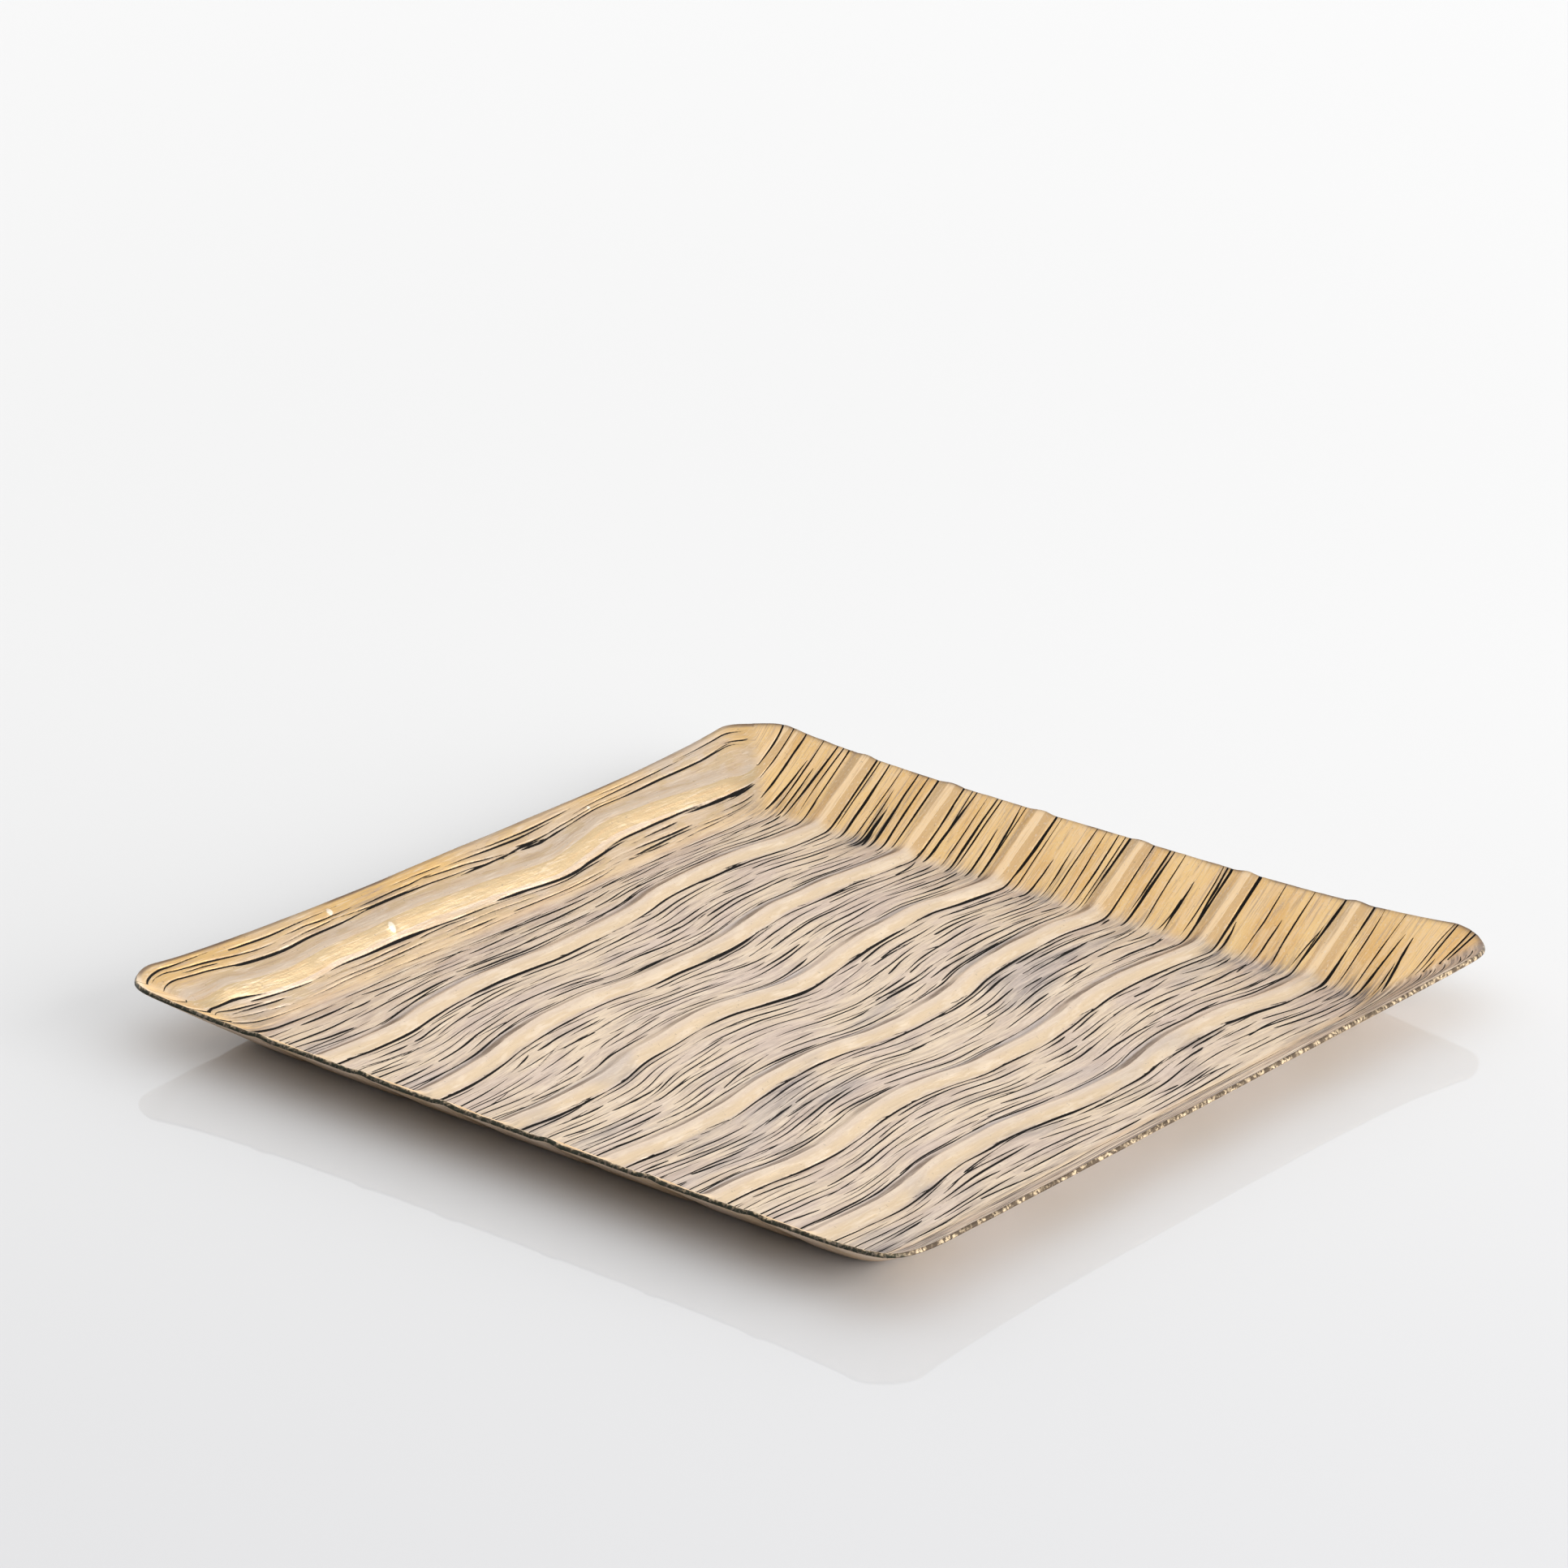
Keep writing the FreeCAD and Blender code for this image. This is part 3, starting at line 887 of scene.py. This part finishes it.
def wear_and_painted_light(n, noises, colour, rib, patina_and_shade):
    """A colour with its painted shade down the ribs' far flanks, blue-grey patina, streaks, specks,
    scratches, patina with painted shade beside the lines, the marks at the rim with a painted highlight
    at the front, and painted glints.
    """
    # blue-grey: painted shade on the ribs' far flanks, and patches of blue-grey patina
    colour = n.mix(n.times(n.attribute("blue"), 0.75), colour, BLUE_GREY_SHADE_AND_PATINA)
    # painted shade: a brown band down each rib's far flank
    shadow = n.times(n.attribute("crest_shadow"), n.between(noises.patches, 0.30, 0.55, 0.45, 0.95))
    colour = n.mix(shadow, colour, FLANK_SHADE_BROWN)
    off_rib = n.math("SUBTRACT", 1.0, n.times(rib, 0.75))
    streaks = n.times(n.between(noises.fine, 0.50, 0.70, 0.0, 0.55), off_rib)
    colour = n.mix(streaks, colour, STREAK)
    colour = n.mix(n.between(noises.fine, 0.30, 0.42, 0.35, 0.0), colour, PALE)
    colour = n.mix(n.between(noises.specks, 0.66, 0.74, 0.0, 0.35), colour, PATINA_AND_SHADE_GREY)
    colour = n.mix(n.between(noises.scratches, 0.54, 0.74, 0.0, 0.45), colour, PALE)
    # patina with painted shade beside the lines, and darker at the walls' foot and in the corners
    colour = n.mix(n.times(patina_and_shade, 0.85), colour, PATINA_AND_SHADE_GREY)
    colour = n.mix(n.times(n.attribute("rim_line"), 0.8), colour, RIM_LINE)
    # burnished wear and a painted highlight along the front rim
    colour = n.mix(n.times(n.attribute("front_rim_wear_and_highlight"), 0.6), colour, PALE)
    # painted glints: the dents on the -X wall turned pale
    return n.mix(n.between(n.attribute("glint"), 0.25, 0.6), colour, PALE)


def edge_colour(n, noises):
    """The cut edge: dull metal with painted sparkle highlights, and near-black painted shade at the
    front, which faces away from the light.
    """
    # painted sparkle highlights on the dull edge
    flashes = n.times(n.between(noises.specks, 0.40, 0.60), n.between(noises.flecks, 0.36, 0.60))
    bright = n.mix(flashes, EDGE_DULL, EDGE_SPARKLE)
    dark = n.mix(n.between(noises.specks, 0.50, 0.68, 0.0, 0.4), EDGE_DARK, NEAR_WALL)
    return n.mix(n.attribute("front_edge_shade"), bright, dark)


def brass_material():
    material = bpy.data.materials.new("patinated_brass")
    material.use_nodes = True
    tree = material.node_tree
    tree.nodes.clear()
    n = Nodes(tree)
    noises = Noises(n)
    wall, rib, warm = n.attribute("wall"), n.attribute("rib"), n.attribute("warm")
    grit = n.between(noises.brushed, 0.42, 0.54, 0.1, 1.0)
    grit = n.times(grit, n.between(noises.fine, 0.42, 0.54, 0.3, 1.0))
    patina_and_shade = n.times(n.attribute("patina_and_shade"), grit)

    land, rise = floor_colour(n, noises, rib, warm), wall_colour(n, noises, rib, warm)
    colour = wear_and_painted_light(n, noises, n.mix(n.times(wall, 0.97), land, rise), rib, patina_and_shade)
    underneath = n.mix(n.between(noises.clouds, 0.38, 0.66), UNDER_PINK, UNDER_DEEP)
    colour = n.mix(n.attribute("below"), colour, underneath)
    colour = n.mix(n.between(n.attribute("edge"), 0.3, 0.7), colour, edge_colour(n, noises))
    uneven = n.times(n.math("SUBTRACT", noises.specks, 0.5), 0.07)
    ink = n.between(n.math("ADD", n.attribute("line"), uneven), 0.47, 0.56)
    colour = n.mix(ink, colour, INK)

    dull = n.math("MAXIMUM", ink, n.times(patina_and_shade, 0.6))
    metallic = n.math("SUBTRACT", BARE_METALLIC, n.times(dull, BARE_METALLIC), True)
    rough = n.between(noises.patches, 0.3, 0.7, 0.42, 0.56)
    rough = n.math("ADD", rough, n.times(dull, 0.3), True)
    normal = n.bump(noises.patches, 0.35, 0.0012)
    normal = n.bump(noises.brushed, 0.30, 0.0006, normal)
    normal = n.bump(noises.fine, 0.30, 0.0003, normal)
    normal = n.bump(noises.scratches, 0.25, 0.0002, normal)
    normal = n.bump(noises.specks, 0.22, 0.0003, normal)

    shader = n.new("ShaderNodeBsdfPrincipled")
    shader.inputs["Specular IOR Level"].default_value = BRASS_SPECULAR
    n.link(colour, shader.inputs["Base Color"])
    n.link(metallic, shader.inputs["Metallic"])
    n.link(rough, shader.inputs["Roughness"])
    n.link(normal, shader.inputs["Normal"])
    output = n.new("ShaderNodeOutputMaterial")
    n.link(shader.outputs["BSDF"], output.inputs["Surface"])
    return material


# ---------------------------------------------------------------------------------------------
# Studio
# ---------------------------------------------------------------------------------------------
FLOOR_RADIUS = 8.0
FLOOR_SIDES = 96
# painted falloff of light: the floor's colour is darker toward the near side
FLOOR_NEAR = (0.635, 0.635, 0.645, 1.0)
FLOOR_FAR = (0.76, 0.76, 0.76, 1.0)
FLOOR_ROUGHNESS = 0.04
FLOOR_SPECULAR = 0.22

# The sky: how bright it is, what share of that is left overhead, and its darker and brighter sides
SKY = 1.15
OVERHEAD = 0.86
DARK_SIDE = (0.05, -1.0, 0.0)
DARKEST = 0.95
FAR_SIDE = (-0.63, 0.77, 0.0)
FAR_GLOW = 0.38
BRIGHT_SIDE = (0.98, 0.2, 0.0)
BRIGHT_GLOW = 0.5

KEY_AT = (2.5, 0.3, 0.85)
KEY_SIZE = (3.0, 1.5)
KEY_POWER = 66.0

CAMERA_AT = (1.0965, -1.3546, 0.7536)
CAMERA_YAW = math.radians(39.326)
CAMERA_PITCH = math.radians(21.152)
CAMERA_ROLL = math.radians(0.481)
CAMERA_LENS = 140.2
SENSOR = 36.0
WHITE = (1.0, 1.0, 1.0, 1.0)
UP = (0.0, 0.0, 1.0)


def make_floor():
    """A pale, slightly glossy floor, lighter toward the far side: a painted falloff of light."""
    bpy.ops.mesh.primitive_circle_add(vertices=FLOOR_SIDES, radius=FLOOR_RADIUS, fill_type="NGON")
    floor = bpy.context.object
    floor.name = "studio_floor"
    floor.location.z = cad_box[0][2]
    material = bpy.data.materials.new("studio_floor")
    material.use_nodes = True
    n = Nodes(material.node_tree)
    away = n.along(n.new("ShaderNodeTexCoord").outputs["Object"], FAR_SIDE)
    shader = material.node_tree.nodes["Principled BSDF"]
    # painted falloff of light, darker toward the near side
    n.link(n.mix(n.between(away, -0.55, 0.35), FLOOR_NEAR, FLOOR_FAR), shader.inputs["Base Color"])
    shader.inputs["Roughness"].default_value = FLOOR_ROUGHNESS
    shader.inputs["Specular IOR Level"].default_value = FLOOR_SPECULAR
    floor.data.materials.append(material)


def make_key_light():
    """A broad soft light, low on the right, that points at the tray."""
    data = bpy.data.lights.new("key", "AREA")
    data.shape = "RECTANGLE"
    data.size, data.size_y = KEY_SIZE
    data.energy = KEY_POWER
    light = bpy.data.objects.new("key", data)
    light.location = KEY_AT
    light.rotation_euler = (-Vector(KEY_AT)).to_track_quat("-Z", "Y").to_euler()
    bpy.context.scene.collection.objects.link(light)


def make_world():
    """White all round and overhead, but dark near the horizon on the front left, so that the
    shadow under the raised side is deep, and brighter near the horizon behind and on the right."""
    world = bpy.data.worlds.new("studio")
    world.use_nodes = True
    tree = world.node_tree
    tree.nodes.clear()
    n = Nodes(tree)
    direction = n.new("ShaderNodeTexCoord").outputs["Generated"]
    up = n.along(direction, UP)
    dark = n.between(n.along(direction, DARK_SIDE), -0.1, 0.6)
    dark = n.times(dark, n.between(up, 0.35, 0.75, DARKEST, 0.0))
    shade = n.math("SUBTRACT", n.between(up, 0.45, 0.85, 1.0, OVERHEAD), dark, True)
    far = n.between(n.along(direction, FAR_SIDE), 0.35, 0.9)
    far = n.times(far, n.between(up, 0.18, 0.46, FAR_GLOW, 0.0))
    beside = n.between(n.along(direction, BRIGHT_SIDE), 0.35, 0.9)
    beside = n.times(beside, n.between(up, 0.12, 0.45, BRIGHT_GLOW, 0.0))
    strength = n.math("ADD", n.times(shade, SKY), n.math("ADD", far, beside))
    background = n.new("ShaderNodeBackground")
    n.link(strength, background.inputs["Strength"])
    background.inputs["Color"].default_value = WHITE
    output = n.new("ShaderNodeOutputWorld")
    n.link(background.outputs[0], output.inputs["Surface"])
    bpy.context.scene.world = world


def make_camera():
    """A long lens that looks at the tray from the front right and above."""
    back = Vector((
        math.sin(CAMERA_YAW) * math.cos(CAMERA_PITCH),
        -math.cos(CAMERA_YAW) * math.cos(CAMERA_PITCH),
        math.sin(CAMERA_PITCH),
    ))
    right = (-back).cross(Vector(UP)).normalized()
    up = right.cross(-back)
    rolled_right = right * math.cos(CAMERA_ROLL) + up * math.sin(CAMERA_ROLL)
    rolled_up = up * math.cos(CAMERA_ROLL) - right * math.sin(CAMERA_ROLL)
    data = bpy.data.cameras.new("camera")
    data.sensor_width = SENSOR
    data.lens = CAMERA_LENS
    data.clip_start = 0.01
    data.clip_end = 50.0
    camera = bpy.data.objects.new("camera", data)
    turn = Matrix((rolled_right, rolled_up, back)).transposed().to_4x4()
    camera.matrix_world = Matrix.Translation(CAMERA_AT) @ turn
    bpy.context.scene.collection.objects.link(camera)
    bpy.context.scene.camera = camera


make_camera()
make_world()
make_floor()
make_key_light()
bpy.context.scene.view_settings.view_transform = "Standard"

tray = bpy.data.objects.new("brass_tray", make_tray())
bpy.context.scene.collection.objects.link(tray)
tray.data.materials.append(brass_material())
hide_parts("tray_sheet")
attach(tray, "root")
